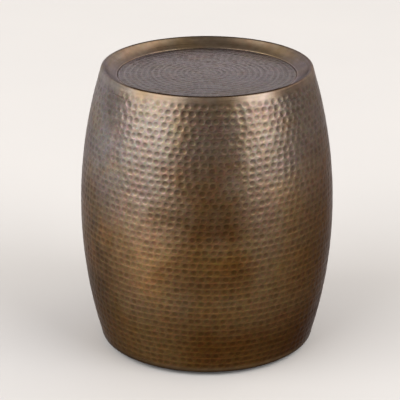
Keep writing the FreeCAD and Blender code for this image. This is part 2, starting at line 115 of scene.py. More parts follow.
class Nodes:
    """Adds nodes to a tree. A socket given as a value is linked, and anything else is set."""

    def __init__(self, tree):
        self.tree = tree

    def add(self, kind, values=(), **settings):
        node = self.tree.nodes.new(kind)
        for name, value in settings.items():
            setattr(node, name, value)
        for key, value in dict(values).items():
            self.feed(node.inputs[key], value)
        return node

    def feed(self, socket, value):
        if isinstance(value, bpy.types.NodeSocket):
            self.tree.links.new(value, socket)
        else:
            socket.default_value = value

    def math(self, operation, *values, clamp=False):
        node = self.add("ShaderNodeMath", enumerate(values), operation=operation, use_clamp=clamp)
        return node.outputs[0]

    def output(self, kind, values=(), **settings):
        """Add a node and give its first output."""
        return self.add(kind, values, **settings).outputs[0]

    def product(self, first, *others):
        for other in others:
            first = self.math("MULTIPLY", first, other)
        return first

    def apart(self, first, second):
        """How far two values lie from each other."""
        return self.math("ABSOLUTE", self.math("SUBTRACT", first, second))

    def off_axis(self, x, y):
        """Distance from the table's upright axis."""
        squares = [self.math("MULTIPLY", value, value) for value in (x, y)]
        return self.math("SQRT", self.math("ADD", *squares))

    def split(self, vector):
        return self.add("ShaderNodeSeparateXYZ", [(0, vector)]).outputs

    def join(self, *parts):
        return self.output("ShaderNodeCombineXYZ", enumerate(parts))

    def vector(self, operation, *values):
        return self.add("ShaderNodeVectorMath", enumerate(values), operation=operation).outputs

    def scaled(self, vector, factor):
        values = [(0, vector), ("Scale", factor)]
        return self.output("ShaderNodeVectorMath", values, operation="SCALE")

    def ramp(self, value, low, high, to_low=0.0, to_high=1.0):
        """Carry a value smoothly from one range to another, and hold it there."""
        ends = {
            "Value": value, "From Min": low, "From Max": high,
            "To Min": to_low, "To Max": to_high,
        }
        return self.output("ShaderNodeMapRange", ends, interpolation_type="SMOOTHSTEP")

    def blend(self, share, first, second, mode="MIX"):
        """Mix two colours."""
        node = self.add("ShaderNodeMix", data_type="RGBA", blend_type=mode, clamp_factor=True)
        self.feed(node.inputs["Factor"], share)
        self.feed(node.inputs[6], first)
        self.feed(node.inputs[7], second)
        return node.outputs[2]

    def tinted(self, colour, tint, *shares):
        """Multiply a colour by a tint, where all the shares let it show."""
        return self.blend(self.product(*shares), colour, tint, "MULTIPLY")

    def noise(self, place, scale, detail=2.0, roughness=0.5):
        values = {"Vector": place, "Scale": scale, "Detail": detail, "Roughness": roughness}
        return self.output("ShaderNodeTexNoise", values)


def mark_cells(nodes, place, row_place, row, count, jitter, joined, seed):
    """Round hammer marks, one to each cell of a row. Joined ones run together along the row.

    Gives the bowl, 1 in a mark's middle, the mark's tone, how far a place lies towards its
    lower right, from -1 to 1, and the ridge between two rows, 1 on its crest.
    """
    x, y, _ = nodes.split(place)
    turn = nodes.math("MULTIPLY_ADD", nodes.math("ARCTAN2", y, x), 1 / math.tau, 0.5)
    row_seed = nodes.math("ADD", row, seed)
    shift = nodes.output("ShaderNodeTexWhiteNoise", {"W": row_seed}, noise_dimensions="1D")
    along = nodes.math("MULTIPLY_ADD", turn, count, shift)
    column = nodes.math("FLOORED_MODULO", nodes.math("FLOOR", along), count)
    cell = nodes.join(column, row, seed)
    chance = nodes.add("ShaderNodeTexWhiteNoise", {"Vector": cell}, noise_dimensions="3D")
    chances = nodes.split(chance.outputs["Color"])
    several = nodes.math("MULTIPLY", nodes.math("GREATER_THAN", count, 1.5), 1.0 - joined)
    ways = ((along, chances[0], several, LEAN_ALONG), (row_place, chances[1], 1.0, LEAN_DOWN))
    offsets, leans = [], []
    for whole, number, keep, share in ways:
        middle = nodes.math("MULTIPLY_ADD", number, jitter, 0.5 - jitter / 2)
        offset = nodes.math("SUBTRACT", nodes.math("FRACT", whole), middle)
        offsets.append(nodes.product(offset, keep, offset))
        leans.append(nodes.math("MULTIPLY", offset, share))
    smallest = MARK_REACH - MARK_SIZE_SPREAD / 2
    reach = nodes.math("MULTIPLY_ADD", chances[2], MARK_SIZE_SPREAD, smallest)
    far = nodes.math("DIVIDE", nodes.math("ADD", *offsets), nodes.math("POWER", reach, 2.0))
    bowl = nodes.math("SUBTRACT", 1.0, far, clamp=True)
    lean = nodes.math("DIVIDE", nodes.math("ADD", *leans), reach)
    ridge = nodes.math("MULTIPLY", nodes.apart(nodes.math("FRACT", row_place), 0.5), 2.0)
    return bowl, chances[2], lean, ridge


def mark_depth(nodes, bowl, tone):
    """A mark's depth as a share of the deepest one's. Its tone says how hard the blow was."""
    vigour = nodes.math("MULTIPLY_ADD", tone, 1.0 - SHALLOWEST_MARK, SHALLOWEST_MARK)
    return nodes.math("MULTIPLY", bowl, vigour)


def wall_marks(nodes, place, seed=3.0):
    """Marks in level rows down the barrel. Each row holds as many as its own girth has room for."""
    height = nodes.split(place)[2]
    wobble = nodes.math("SUBTRACT", nodes.noise(place, 11.0, 1.0), 0.5)
    height = nodes.math("MULTIPLY_ADD", wobble, ROW_WOBBLE, height)
    drop = nodes.math("SUBTRACT", WALL_TOP_ROW, height)
    row_place = nodes.math("DIVIDE", drop, WALL_ROW_PITCH)
    row = nodes.math("FLOOR", row_place)
    first_row = WALL_TOP_ROW - WALL_ROW_PITCH / 2 - BELLY_HEIGHT
    over_belly = nodes.math("MULTIPLY_ADD", row, -WALL_ROW_PITCH, first_row)
    square = nodes.math("SUBTRACT", BULGE_RADIUS ** 2, nodes.math("POWER", over_belly, 2.0))
    radius = nodes.math("ADD", nodes.math("SQRT", square), WALL_CENTRE)
    count = nodes.math("ROUND", nodes.math("MULTIPLY", radius, math.tau / WALL_MARK_SPACING))
    return mark_cells(nodes, place, row_place, row, count, WALL_MARK_JITTER, 0.0, seed)


def floor_marks(nodes, place, seed=50.0):
    """Marks in rings about the middle of the tray, where a single one lies."""
    x, y, _ = nodes.split(place)
    wobble = nodes.math("SUBTRACT", nodes.noise(place, 20.0, 1.0), 0.5)
    radius = nodes.math("MULTIPLY_ADD", wobble, RING_WOBBLE, nodes.off_axis(x, y))
    inward = nodes.math("SUBTRACT", FLOOR_OUTER_RING, radius)
    ring_place = nodes.math("DIVIDE", inward, FLOOR_RING_PITCH)
    ring = nodes.math("FLOOR", ring_place)
    first_ring = FLOOR_OUTER_RING - FLOOR_RING_PITCH / 2
    middle = nodes.math("MULTIPLY_ADD", ring, -FLOOR_RING_PITCH, first_ring)
    girth = nodes.math("MULTIPLY", middle, math.tau / FLOOR_MARK_SPACING)
    count = nodes.math("MAXIMUM", nodes.math("ROUND", girth), 1.0)
    return mark_cells(
        nodes, place, ring_place, ring, count, FLOOR_MARK_JITTER, FLOOR_MARKS_JOINED, seed)


def wall_radius(inset, height):
    """Radius of the barrel at a height, on the line that lies this far inside its outer face."""
    return WALL_CENTRE + math.sqrt((BULGE_RADIUS - inset) ** 2 - (height - BELLY_HEIGHT) ** 2)


def wall_angle(inset, height):
    """Slope of the barrel at a height, on the same line, as an angle about the bulge's centre."""
    return math.asin((height - BELLY_HEIGHT) / (BULGE_RADIUS - inset))


def arc(centre, radius, start, end, steps):
    """Points along an arc, both ends included."""
    angles = [start + (end - start) * step / steps for step in range(steps + 1)]
    return [
        (centre[0] + radius * math.cos(angle), centre[1] + radius * math.sin(angle))
        for angle in angles]


def meeting_point(first, first_radius, second, second_radius):
    """Where two circles meet, on the left of the way from the first centre to the second."""
    across, up = second[0] - first[0], second[1] - first[1]
    apart = math.hypot(across, up)
    along = (first_radius ** 2 - second_radius ** 2 + apart ** 2) / (2 * apart)
    aside = math.sqrt(first_radius ** 2 - along ** 2)
    return (
        first[0] + (along * across - aside * up) / apart,
        first[1] + (along * up + aside * across) / apart)


def shell_section():
    """The sheet's closed section as (radius, height, hammered).

    It runs clockwise from the ledge's inner edge.
    """
    hem = (wall_radius(HEM_RADIUS, HEM_HEIGHT), HEM_HEIGHT)
    hem_start = wall_angle(HEM_RADIUS, HEM_HEIGHT)
    rim = (wall_radius(RIM_RADIUS, RIM_HEIGHT), RIM_HEIGHT)
    rim_end = wall_angle(RIM_RADIUS, RIM_HEIGHT)
    lip = (STEP_RADIUS + STEP_WIDTH, DISC_HIGH.z + COVE_RISE)
    foot = (lip[0] + LIP_WIDTH, lip[1])
    cove = meeting_point(foot, COVE_RADIUS, rim, COVE_RADIUS + RIM_RADIUS)
    cove_start = math.atan2(foot[1] - cove[1], foot[0] - cove[0])
    cove_end = math.atan2(rim[1] - cove[1], rim[0] - cove[0])
    under_radius = COVE_RADIUS + SHEET
    under_start = -math.acos((lip[0] + STEP_SHIFT - cove[0]) / under_radius)
    ledge_low = LEDGE_TOP - SHEET
    wall_centre = (WALL_CENTRE, BELLY_HEIGHT)
    inner_wall = BULGE_RADIUS - SHEET

    bend = (lip[0] + STEP_BEND, lip[1] - STEP_BEND)
    smooth_top = [(LEDGE_EDGE, LEDGE_TOP), (STEP_RADIUS, LEDGE_TOP)]
    smooth_top += arc(bend, STEP_BEND, math.pi, math.pi / 2, 3)
    smooth_top += arc(cove, COVE_RADIUS, cove_start, cove_end, 8)
    smooth_top += arc(rim, RIM_RADIUS, cove_end + math.pi, rim_end, 12)[1:]
    shoulder = [(wall_radius(0, height), height) for height in SHOULDER_HEIGHTS]
    marks = []
    samples = WALL_ROWS * WALL_SAMPLES_PER_ROW
    for step in range(samples + 1):
        height = WALL_TOP_ROW - step * WALL_ROW_PITCH / WALL_SAMPLES_PER_ROW
        from_top, from_foot = 1 + step, 1 + 2 * (samples - step)
        share = min(1.0, from_top / EDGE_SAMPLES, from_foot / EDGE_SAMPLES)
        marks.append((wall_radius(0, height), height, share))
    foot_band = [(wall_radius(0, FOOT_BAND_HEIGHT), FOOT_BAND_HEIGHT)]
    hem_outside = arc(hem, HEM_RADIUS, hem_start, HEM_END, 12)
    hem_inside = arc(hem, HEM_BORE, HEM_END, hem_start, 7)
    inside = arc(wall_centre, inner_wall, hem_start, rim_end, 12)[1:]
    inside += arc(rim, RIM_RADIUS - SHEET, rim_end, cove_end + math.pi, 3)[1:]
    inside += arc(cove, under_radius, cove_end, under_start, 5)[1:]
    inside += [(STEP_RADIUS + STEP_SHIFT, ledge_low), (LEDGE_EDGE, ledge_low)]

    above = [(*point, 0.0) for point in smooth_top + shoulder]
    below = [(*point, 0.0) for point in foot_band + hem_outside + hem_inside + inside]
    return above + marks + below


def disc_section():
    """Half the tray disc's section, clockwise from its top's middle to its underside's."""
    top, low = DISC_HIGH.z, DISC_LOW.z
    rings = round(FLOOR_RINGS * FLOOR_SAMPLES_PER_RING)
    marks = [(FLOOR_OUTER_RING * step / rings, top, 1.0) for step in range(rings + 1)]
    inner = DISC_RADIUS - DISC_EDGE
    edge = [
        (inner, top), (DISC_RADIUS, top - DISC_EDGE),
        (DISC_RADIUS, low + DISC_EDGE), (inner, low)]
    under = [(DISC_RADIUS * share, low) for share in (0.75, 0.5, 0.25, 0.0)]
    return marks + [(*point, 0.0) for point in edge + under]


def section_mesh(name, section, closed):
    """A section as a run of edges in the XZ plane, with its hammered places marked."""
    mesh = bpy.data.meshes.new(name)
    last = len(section)
    edges = [(index, (index + 1) % last) for index in range(last if closed else last - 1)]
    mesh.from_pydata([(radius, 0.0, height) for radius, height, _ in section], edges, [])
    hammered = mesh.attributes.new("hammered", "FLOAT", "POINT")
    hammered.data.foreach_set("value", [share for _, _, share in section])
    return mesh


def hammered_sheet_tree(name, marks, material):
    """Geometry Nodes that turn a section about Z and press hammer marks into it."""
    tree = bpy.data.node_groups.new(name, "GeometryNodeTree")
    side = tree.interface
    side.new_socket("Section", in_out="INPUT", socket_type="NodeSocketGeometry")
    side.new_socket("Steps Around", in_out="INPUT", socket_type="NodeSocketInt")
    side.new_socket("Mark Depth", in_out="INPUT", socket_type="NodeSocketFloat")
    side.new_socket("Unevenness", in_out="INPUT", socket_type="NodeSocketFloat")
    side.new_socket("Sheet", in_out="OUTPUT", socket_type="NodeSocketGeometry")
    nodes = Nodes(tree)
    given = nodes.add("NodeGroupInput").outputs

    # A profile is swept with its X away from the circle's centre and its Y downwards.
    x, _, z = nodes.split(nodes.output("GeometryNodeInputPosition"))
    laid = nodes.join(
        nodes.math("SUBTRACT", x, TURNING_RADIUS), nodes.math("MULTIPLY", z, -1.0))
    flat = nodes.output("GeometryNodeSetPosition", {"Geometry": given["Section"], "Position": laid})
    profile = nodes.output("GeometryNodeMeshToCurve", {"Mesh": flat})
    round_it = {"Resolution": given["Steps Around"], "Radius": TURNING_RADIUS}
    circle = nodes.output("GeometryNodeCurvePrimitiveCircle", round_it, mode="RADIUS")
    turned = nodes.output("GeometryNodeCurveToMesh", {"Curve": circle, "Profile Curve": profile})
    merge = {"Geometry": turned, "Distance": MERGE_WITHIN}
    closed = nodes.output("GeometryNodeMergeByDistance", merge)

    hammered = nodes.output("GeometryNodeInputNamedAttribute", {"Name": "hammered"})
    place = nodes.output("GeometryNodeInputPosition")
    bowl, tone, *_ = marks(nodes, place)
    depth = nodes.math("MULTIPLY", mark_depth(nodes, bowl, tone), given["Mark Depth"])
    depth = nodes.math("MULTIPLY_ADD", nodes.noise(place, 48.0, 1.0), given["Unevenness"], depth)
    push = nodes.product(depth, hammered, -1.0)
    push = nodes.scaled(nodes.output("GeometryNodeInputNormal"), push)
    pressed = nodes.output("GeometryNodeSetPosition", {"Geometry": closed, "Offset": push})
    smooth = nodes.output("GeometryNodeSetShadeSmooth", {"Geometry": pressed})
    real = nodes.output("GeometryNodeRealizeInstances", {"Geometry": smooth})
    dressed = nodes.output("GeometryNodeSetMaterial", {"Geometry": real, "Material": material})
    nodes.add("NodeGroupOutput", {"Sheet": dressed})
    return tree


def make_from_tree(name, mesh, tree, values):
    """Run a tree on a mesh and keep the result as a plain mesh object."""
    source = bpy.data.objects.new(f"{name}_source", mesh)
    bpy.context.scene.collection.objects.link(source)
    modifier = source.modifiers.new("shape", "NODES")
    modifier.node_group = tree
    items = tree.interface.items_tree
    sockets = {item.name: item.identifier for item in items if item.in_out == "INPUT"}
    for key, value in values.items():
        modifier[sockets[key]] = value
    graph = bpy.context.evaluated_depsgraph_get()
    result = bpy.data.meshes.new_from_object(source.evaluated_get(graph), depsgraph=graph)
    result.name = name
    piece = bpy.data.objects.new(name, result)
    bpy.context.scene.collection.objects.link(piece)
    bpy.data.objects.remove(source)
    return piece


def new_material(name):
    """A material with a Principled shader. Gives both, its nodes and the place on the object."""
    material = bpy.data.materials.new(name)
    material.use_nodes = True
    material.node_tree.nodes.clear()
    nodes = Nodes(material.node_tree)
    shader = nodes.add("ShaderNodeBsdfPrincipled")
    nodes.add("ShaderNodeOutputMaterial", {"Surface": shader.outputs[0]})
    place = nodes.add("ShaderNodeTexCoord").outputs["Object"]
    return material, nodes, shader, place


def bump(nodes, height, strength=1.0, normal=None):
    """Relief whose height is in metres."""
    values = {"Strength": strength, "Distance": 1.0, "Height": height}
    if normal is not None:
        values["Normal"] = normal
    return nodes.output("ShaderNodeBump", values)


# Painted reflections and shade on the hammered brass: paler and darker patches, placed by
# height and side, that paint in the room which the brass mirrors, so the finish differs from
# side to side. They are laid one over another. Each has its colour, and shows where all its
# fades let it. A fade names a measure of the sheet, where along it the change starts and ends,
# and the patch's strength before and after, which is from 0 to 1 if it isn't given.
BRIGHT_PATCH_PLACE = (-0.11, -0.165, 0.2)
BRIGHT_PATCH_SHAPE = (1.0, 1.0, 0.85)
FRONT_MIDDLE = 0.005
LEFT = ("side", -0.16, -0.11, 1.0, 0.0)
FRONT = ("off_front", 0.02, 0.06, 1.0, 0.0)
BELT = (("height", 0.11, 0.16), ("height", 0.235, 0.27, 1.0, 0.0))
PAINTED_REFLECTIONS = {
    # Painted bright reflection on the front left, about the belly.
    "painted_bright_patch": (
        (2.1, 1.95, 1.7, 1), ("off_bright_patch", 0.05, 0.15, 1.0, 0.0)),
    # Painted darker, browner reflection on the right.
    "painted_dark_reflection_right": (
        (0.6, 0.5, 0.39, 1), ("side", 0.04, 0.18), ("height", 0.3, 0.42, 1.0, 0.5),
        ("height", 0.05, 0.2, 0.5, 1.0)),
    # Painted shade low on the left.
    "painted_shade_low_left": (
        (0.82, 0.8, 0.78, 1), ("height", 0.02, 0.09), ("height", 0.2, 0.32, 1.0, 0.0), LEFT),
    # Painted pale, cool reflection on the left, strongest high up.
    "painted_cool_reflection_left": (
        (1.6, 1.78, 2.05, 1), LEFT, ("height", 0.27, 0.44, 0.1, 1.0)),
    # Painted dark brown reflection near the foot, weaker on the left.
    "painted_dark_reflection_foot": (
        (0.56, 0.43, 0.28, 1), ("height", 0.02, 0.06, 0.85, 1.0),
        ("drifting_height", 0.055, 0.145, 1.0, 0.0), ("side", -0.1, 0.0, 0.1, 1.0)),
    # Painted amber reflection on the right half, below the upper wall.
    "painted_amber_reflection_right": (
        (1.0, 0.95, 0.84, 1), ("side", -0.06, 0.0), ("height", 0.24, 0.36, 1.0, 0.0)),
    # Painted dark reflection in front and behind, a little above the belly.
    "painted_dark_reflection_front": (
        (0.74, 0.71, 0.64, 1), ("height", 0.23, 0.255), ("height", 0.29, 0.36, 1.0, 0.0), FRONT),
    # Painted pale reflection in front and behind, about the belly.
    "painted_pale_reflection_front": (
        (1.36, 1.48, 1.56, 1), ("height", 0.165, 0.2), ("height", 0.225, 0.25, 1.0, 0.0), FRONT),
    # Painted sallow reflection low on the left.
    "painted_sallow_reflection_low_left": (
        (1.08, 0.98, 0.74, 1), ("height", 0.04, 0.14, 1.0, 0.0), ("side", -0.03, 0.03, 1.0, 0.0)),
    # Painted pale reflection in a band all round, above the belly.
    "painted_pale_reflection_band": (
        (1.13, 1.13, 1.14, 1), ("height", 0.275, 0.3), ("height", 0.325, 0.35, 1.0, 0.0)),
    # Painted shade in a belt about the belly, on the left.
    "painted_shade_left_belt": (
        (0.77, 0.76, 0.75, 1), *BELT, ("side", -0.175, -0.155), ("side", -0.12, -0.09, 1.0, 0.0)),
    # Painted pale reflection at the far left edge, about the belly.
    "painted_pale_reflection_left_edge": (
        (1.4, 1.35, 1.28, 1), *BELT, ("side", -0.185, -0.165, 1.0, 0.0)),
}
# Small mottles that lie over all the brass, in the same form.
MOTTLES = {
    "yellow": ((1.1, 0.97, 0.7, 1), ("tint", 0.48, 0.66, 0.0, 0.5)),
    "dented": ((0.8, 0.79, 0.78, 1), ("dent", 0.35, 0.65, 0.0, 0.8)),
    "silvery": ((0.99, 0.98, 1.08, 1), ("tint", 0.34, 0.48, 0.7, 0.0)),
    "cloudy": ((0.76, 0.72, 0.68, 1), ("cloud", 0.5, 0.75, 0.0, 0.5)),
    "ruddy": ((1.14, 0.92, 0.84, 1), ("blush", 0.5, 0.66, 0.0, 0.4)),
}
# Below: a painted highlight on the shoulder, the marks' patina, ridge wear with a painted
# highlight, painted light in the step at the disc's sides, painted shade on the hem, and the rim's
# dark line.
PAINTED_HIGHLIGHT_SHOULDER = (1.35, 1.4, 1.5, 1)
MARK_PATINA = (0.45, 0.4, 0.34, 1)
RIDGE_WEAR_AND_HIGHLIGHT = (1.6, 1.6, 1.55, 1)
PAINTED_LIGHT_IN_STEP = (2.2, 2.2, 2.2, 1)
HEM_SHADE = (0.36, 0.32, 0.29, 1)
DARK_LINE = (0.16, 0.11, 0.07, 1)
# Three bands round the axis, one facing front. They carry a painted dark reflection, a little
# stronger patina in the marks, and the strongest painted light on the marks.
BAND_COUNT = 3.0
BAND_EDGES = (-0.2, 0.9)


class Sheet:
    """Where a point of the sheet lies, and the marks and noises that the brass follows there."""

    def __init__(self, nodes, place, marks):
        self.place = place
        self.x, self.y, self.height = nodes.split(place)
        self.hammered = nodes.add("ShaderNodeAttribute", attribute_name="hammered").outputs["Fac"]
        self.radius = nodes.off_axis(self.x, self.y)
        turn = nodes.math("ARCTAN2", self.y, self.x)
        self.bands = nodes.math("SINE", nodes.math("MULTIPLY", turn, BAND_COUNT))
        bowl, self.tone, self.lean, self.ridge = marks(nodes, place)
        self.bowl = nodes.math("MULTIPLY", bowl, self.hammered)
        self.cloud = nodes.noise(place, 9.0, 4.0, 0.6)
        self.blush = nodes.noise(place, 27.0, 3.0, 0.6)
        self.tint = nodes.noise(place, 16.0, 3.0, 0.55)
        self.dent = nodes.noise(place, 90.0)
        self.wave = nodes.noise(place, 34.0, 2.0, 0.6)
        speckle = {"Vector": place, "Scale": 260.0, "Detail": 3.0, "Roughness": 0.6}
        self.speck, self.mottle = nodes.add("ShaderNodeTexNoise", speckle).outputs
        spun = [
            nodes.math("MULTIPLY", value, scale)
            for value, scale in ((turn, 2.0), (self.radius, 260.0), (self.height, 260.0))]
        self.streak = nodes.noise(nodes.join(*spun), 1.0, 3.0, 0.6)


def lay_mottles_and_painted_reflections(nodes, brass, measures, tint_layers):
    """Lay tables of tints over a colour, one after another: mottles, and painted reflections and
    shade.
    """
    for colour, *fades in tint_layers.values():
        shares = [nodes.ramp(measures[measure], *fade) for measure, *fade in fades]
        brass = nodes.tinted(brass, colour, *shares)
    return brass


def hammered_colour(nodes, sheet, look):
    """The hammered brass, painted with the room's reflections: graded, with broad bands round it,
    broken up by cloud, and paler and darker patches.
    """
    # The grade is a painted reflection of the room and the floor.
    axis, start, end = look["grade"]
    rise = nodes.vector("DOT_PRODUCT", sheet.place, axis)["Value"]
    rise = nodes.math("MULTIPLY_ADD", sheet.cloud, 0.12, rise)
    brass = nodes.blend(nodes.ramp(rise, start, end), look["low"], look["high"])
    unrest = nodes.math("SUBTRACT", sheet.cloud, 0.5)
    # Broad bands round the barrel, darker and browner: a painted reflection.
    warm = nodes.math("MULTIPLY_ADD", unrest, 3.0, sheet.bands)
    brass = nodes.tinted(
        brass, look["painted_dark_band"], nodes.ramp(warm, -0.3, 1.2),
        nodes.ramp(sheet.height, 0.1, 0.22), nodes.ramp(sheet.height, 0.3, 0.42, 1.0, 0.5))
    off_place = nodes.vector("SUBTRACT", sheet.place, BRIGHT_PATCH_PLACE)[0]
    off_place = nodes.vector("MULTIPLY", off_place, BRIGHT_PATCH_SHAPE)[0]
    off_place = nodes.vector("LENGTH", off_place)["Value"]
    side = nodes.math("MULTIPLY_ADD", unrest, 0.1, sheet.x)
    measures = {
        "height": sheet.height,
        "drifting_height": nodes.math("MULTIPLY_ADD", unrest, 0.12, sheet.height),
        "side": side,
        "off_front": nodes.apart(side, FRONT_MIDDLE),
        "off_bright_patch": nodes.math("MULTIPLY_ADD", sheet.cloud, 0.08, off_place),
    }
    return lay_mottles_and_painted_reflections(nodes, brass, measures, PAINTED_REFLECTIONS)


def smooth_colour(nodes, sheet, look):
    """The smooth brass: the shoulder outside the rim, the cove inside it, and the hem below."""
    streaky = nodes.math("SUBTRACT", sheet.streak, 0.5)
    # The cove is browner behind and greyer at the sides: a painted reflection.
    rear = nodes.ramp(nodes.math("MULTIPLY_ADD", streaky, 0.12, sheet.y), -0.02, 0.1)
    inner = nodes.blend(rear, look["inner_side"], look["inner_back"])
    # Painted highlights on the shoulder: pale on the left, brighter on the front right.
    left = nodes.ramp(sheet.x, -0.13, -0.1, 1.0, 0.0)
    outer = nodes.blend(left, look["burnished"], look["painted_highlight_left"])
    outer = nodes.tinted(
        outer, PAINTED_HIGHLIGHT_SHOULDER, nodes.ramp(sheet.x, 0.05, 0.068),
        nodes.ramp(sheet.x, 0.082, 0.098, 1.0, 0.0))
    outside = nodes.ramp(sheet.radius, RIM_CREST - 0.003, RIM_CREST + 0.003)
    smooth = nodes.blend(outside, inner, outer)
    # Towards the floor the smooth parts take the grade's low colour, part of the painted
    # reflection.
    return nodes.blend(nodes.ramp(sheet.height, 0.04, 0.3), look["low"], smooth)


def mottled(nodes, sheet, brass):
    """Small mottles, and a fine speckle that is stronger where the brass is hammered."""
    measures = {"tint": sheet.tint, "dent": sheet.dent, "cloud": sheet.cloud, "blush": sheet.blush}
    brass = lay_mottles_and_painted_reflections(nodes, brass, measures, MOTTLES)
    share = nodes.math("MULTIPLY_ADD", sheet.hammered, 0.28, 0.1)
    return nodes.blend(share, brass, sheet.mottle, "OVERLAY")


def marked(nodes, sheet, brass, recess, ridges):
    """Patina left in the marks, ridges worn bright with a painted highlight, and painted light on
    each mark's lower right with painted shade on its upper left.
    """
    brass = nodes.tinted(brass, MARK_PATINA, recess)
    # Ridges between rows worn bright, with a painted highlight, strongest low down.
    brass = nodes.tinted(
        brass, RIDGE_WEAR_AND_HIGHLIGHT, nodes.ramp(sheet.ridge, 0.62, 0.95),
        nodes.math("MULTIPLY", sheet.hammered, sheet.cloud),
        nodes.ramp(sheet.height, 0.15, 0.38, *ridges))
    # Painted light on each mark's lower right and painted shade on its upper left.
    slope = nodes.math("MULTIPLY", sheet.bowl, nodes.math("SUBTRACT", 1.0, sheet.bowl))
    strength = nodes.math(
        "MULTIPLY", nodes.ramp(sheet.bands, *BAND_EDGES, 1.3, 2.6),
        nodes.ramp(sheet.height, 0.1, 0.32, 0.5, 1.0))
    painted_glint = nodes.math("MULTIPLY_ADD", nodes.math("MULTIPLY", slope, sheet.lean), strength, 1.0)
    return nodes.scaled(brass, painted_glint)


def crest_line(nodes, sheet):
    """A darker line along the rim's crest, strongest in front and behind."""
    off_crest = nodes.apart(sheet.radius, RIM_CREST + 0.0003)
    return nodes.product(
        nodes.ramp(off_crest, 0.0015, 0.0032, 1.0, 0.0),
        nodes.ramp(nodes.math("ABSOLUTE", sheet.x), 0.1, 0.165, 1.0, 0.3),
        nodes.math("GREATER_THAN", sheet.height, RIM_HEIGHT))


def trimmed(nodes, sheet, brass, crest):
    """Painted light on the step at the disc's sides, painted shade on the hem, and the rim's dark
    line.
    """
    # Painted light in the step round the disc, at its left and right, over the shade there.
    off_step = nodes.apart(sheet.radius, STEP_RADIUS + STEP_WIDTH / 2)
    brass = nodes.tinted(
        brass, PAINTED_LIGHT_IN_STEP, nodes.ramp(off_step, 0.0004, 0.0013, 1.0, 0.0),
        nodes.ramp(nodes.math("ABSOLUTE", sheet.x), 0.06, 0.12))
    # Painted shade on the hem, next to the floor.
    brass = nodes.tinted(brass, HEM_SHADE, nodes.ramp(sheet.height, 0.0065, 0.0135, 1.0, 0.0))
    return nodes.tinted(brass, DARK_LINE, crest)


def brass_roughness(nodes, sheet, satin, recess, crest):
    """Satin, duller in the marks' patina and along the rim's dark line, and streaked round the
    axis.
    """
    rough = nodes.math("MULTIPLY_ADD", sheet.hammered, satin, 0.31)
    rough = nodes.math("MULTIPLY_ADD", recess, 0.1, rough)
    rough = nodes.math("ADD", rough, nodes.ramp(sheet.streak, 0.3, 0.75, -0.04, 0.08))
    return nodes.math("MULTIPLY_ADD", crest, 0.2, rough)


def brass_relief(nodes, sheet, depth, strength):
    """The marks' relief between the mesh's points, with dents, waves and a fine spun grain."""
    marks = nodes.math("MULTIPLY", mark_depth(nodes, sheet.bowl, sheet.tone), -depth)
    for unevenness, share in ((sheet.dent, 0.5), (sheet.wave, 3.2)):
        unevenness = nodes.math("MULTIPLY", unevenness, sheet.hammered)
        marks = nodes.math("MULTIPLY_ADD", unevenness, depth * share, marks)
    marks = nodes.math("MULTIPLY", marks, nodes.ramp(sheet.height, 0.24, 0.42, 0.78, 1.0))
    grain = nodes.math("MULTIPLY_ADD", sheet.hammered, 0.00004, 0.000012)
    grain = nodes.math("MULTIPLY", sheet.speck, grain)
    grain = nodes.math("MULTIPLY_ADD", sheet.streak, 0.00002, grain)
    return bump(nodes, grain, 1.0, bump(nodes, marks, strength))


def hammered_brass(name, marks, depth, look):
    """Antique brass with patina in the marks, greyer at the top and browner below: a painted
    reflection.
    """
    material, nodes, shader, place = new_material(name)
    sheet = Sheet(nodes, place, marks)
    recess = nodes.product(
        nodes.ramp(sheet.bowl, 0.15, 0.9), nodes.math("MULTIPLY_ADD", sheet.tone, 0.45, 0.1),
        nodes.ramp(sheet.bands, *BAND_EDGES, 0.82, 1.0))
    crest = crest_line(nodes, sheet)
    smooth, hammered = smooth_colour(nodes, sheet, look), hammered_colour(nodes, sheet, look)
    brass = mottled(nodes, sheet, nodes.blend(sheet.hammered, smooth, hammered))
    brass = marked(nodes, sheet, brass, recess, look["ridges"])
    nodes.feed(shader.inputs["Base Color"], trimmed(nodes, sheet, brass, crest))
    shader.inputs["Metallic"].default_value = 1.0
    shader.inputs["Specular Tint"].default_value = look["edge_tint"]
    rough = brass_roughness(nodes, sheet, look["satin"], recess, crest)
    nodes.feed(shader.inputs["Roughness"], rough)
    nodes.feed(shader.inputs["Normal"], brass_relief(nodes, sheet, depth, look["relief"]))
    return material


def plain_metal(name, colour, stain, metallic, roughness, grain):
    """Steel with a mottled skin and a fine grain."""
    material, nodes, shader, place = new_material(name)
    cloud = nodes.ramp(nodes.noise(place, 60.0, 4.0, 0.6), 0.35, 0.7)
    speck = nodes.noise(place, grain, 3.0, 0.6)
    rough = nodes.ramp(speck, 0.3, 0.7, roughness - 0.06, roughness + 0.08)
    nodes.feed(shader.inputs["Base Color"], nodes.blend(cloud, colour, stain))
    shader.inputs["Metallic"].default_value = metallic
    nodes.feed(shader.inputs["Roughness"], rough)
    nodes.feed(shader.inputs["Normal"], bump(nodes, nodes.math("MULTIPLY", speck, 0.00003)))
    return material


def black_rubber():
    """Moulded rubber: matt, finely grained, with a little dust."""
    material, nodes, shader, place = new_material("black_rubber")
    grain = nodes.noise(place, 900.0, 2.0)
    dust = nodes.ramp(nodes.noise(place, 120.0, 4.0, 0.7), 0.5, 0.8, 0.0, 0.35)
    black, grey = (0.018, 0.018, 0.019, 1), (0.07, 0.065, 0.06, 1)
    nodes.feed(shader.inputs["Base Color"], nodes.blend(dust, black, grey))
    nodes.feed(shader.inputs["Roughness"], nodes.ramp(grain, 0.3, 0.7, 0.62, 0.8))
    nodes.feed(shader.inputs["Normal"], bump(nodes, nodes.math("MULTIPLY", grain, 0.00006)))
    return material


